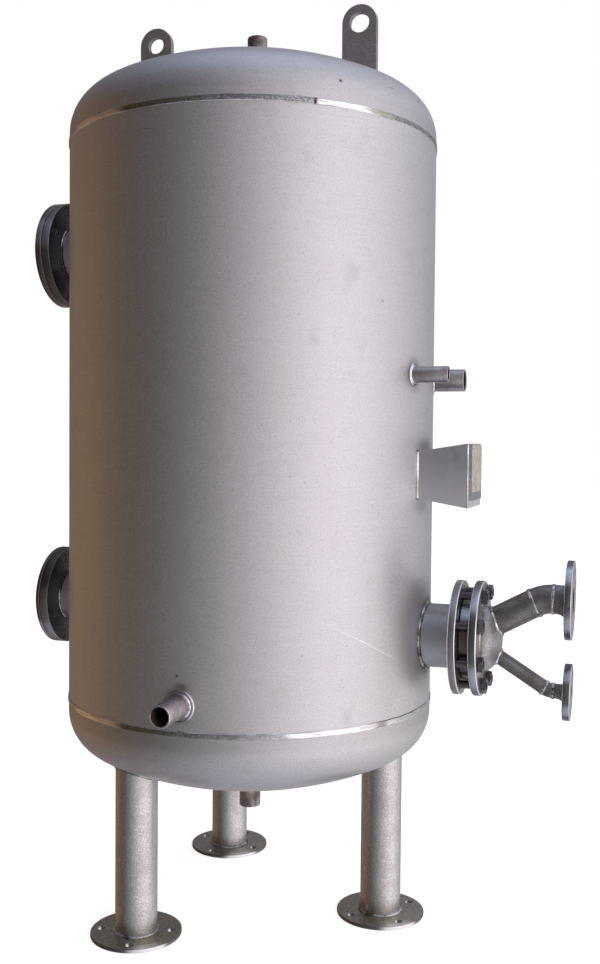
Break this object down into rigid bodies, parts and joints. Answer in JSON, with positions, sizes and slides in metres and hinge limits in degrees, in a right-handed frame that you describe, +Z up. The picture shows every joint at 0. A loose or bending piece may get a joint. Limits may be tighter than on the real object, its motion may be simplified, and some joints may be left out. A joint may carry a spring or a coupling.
{
  "type": "storage water heater",
  "caption": "Upright stainless storage water heater on legs: cylindrical vessel with dished ends, bolted heater channel, blanked nozzles, sockets, nameplate bracket and lifting lugs.",
  "frame": {"origin": "middle of the bounding box, at floor level under the foot plates; the vessel's axis stands at x = -0.1375, y = 0.0551", "axes": "+Z up along the vessel's axis; +X the way the heater points, -Y the way the front socket points"},
  "size_m": [1.484, 1.1102, 2.4437],
  "materials": {
    "vessel_steel": "bead blasted, satin, with heat tints beside the welds",
    "flange_steel": "machined faces with turned rims",
    "pipe_steel": "dull rolled pipe with brown mottling",
    "plate_steel": "bare nameplate, warm satin"
  },
  "bodies": {
    "root": {"shell": "vessel_steel", "top_head": "vessel_steel", "bottom_head": "vessel_steel", "upper_nozzle_neck": "vessel_steel", "lower_nozzle_neck": "vessel_steel", "heater_neck": "vessel_steel", "nameplate_bracket": "vessel_steel", "upper_nozzle_flange": "flange_steel", "lower_nozzle_flange": "flange_steel", "upper_blanking_plate": "flange_steel", "lower_blanking_plate": "flange_steel", "heater_body_flange": "flange_steel", "channel_flange": "flange_steel", "upper_branch_flange": "flange_steel", "lower_branch_flange": "flange_steel", "top_socket": "flange_steel", "drain_socket": "flange_steel", "front_socket": "flange_steel", "sensor_socket_small": "flange_steel", "sensor_socket_large": "flange_steel", "heater_tubesheet": "pipe_steel", "channel_dome": "pipe_steel", "upper_branch_pipe": "pipe_steel", "upper_branch_elbow": "pipe_steel", "upper_branch_neck": "pipe_steel", "lower_branch_pipe": "pipe_steel", "lower_branch_elbow": "pipe_steel", "lower_branch_neck": "pipe_steel", "lifting_lug_heater_side": "pipe_steel", "lifting_lug_nozzle_side": "pipe_steel", "leg_heater_side": "pipe_steel", "leg_front": "pipe_steel", "leg_back": "pipe_steel", "foot_plate_heater_side": "pipe_steel", "foot_plate_front": "pipe_steel", "foot_plate_back": "pipe_steel", "nameplate": "plate_steel"}
  },
  "joints": []
}
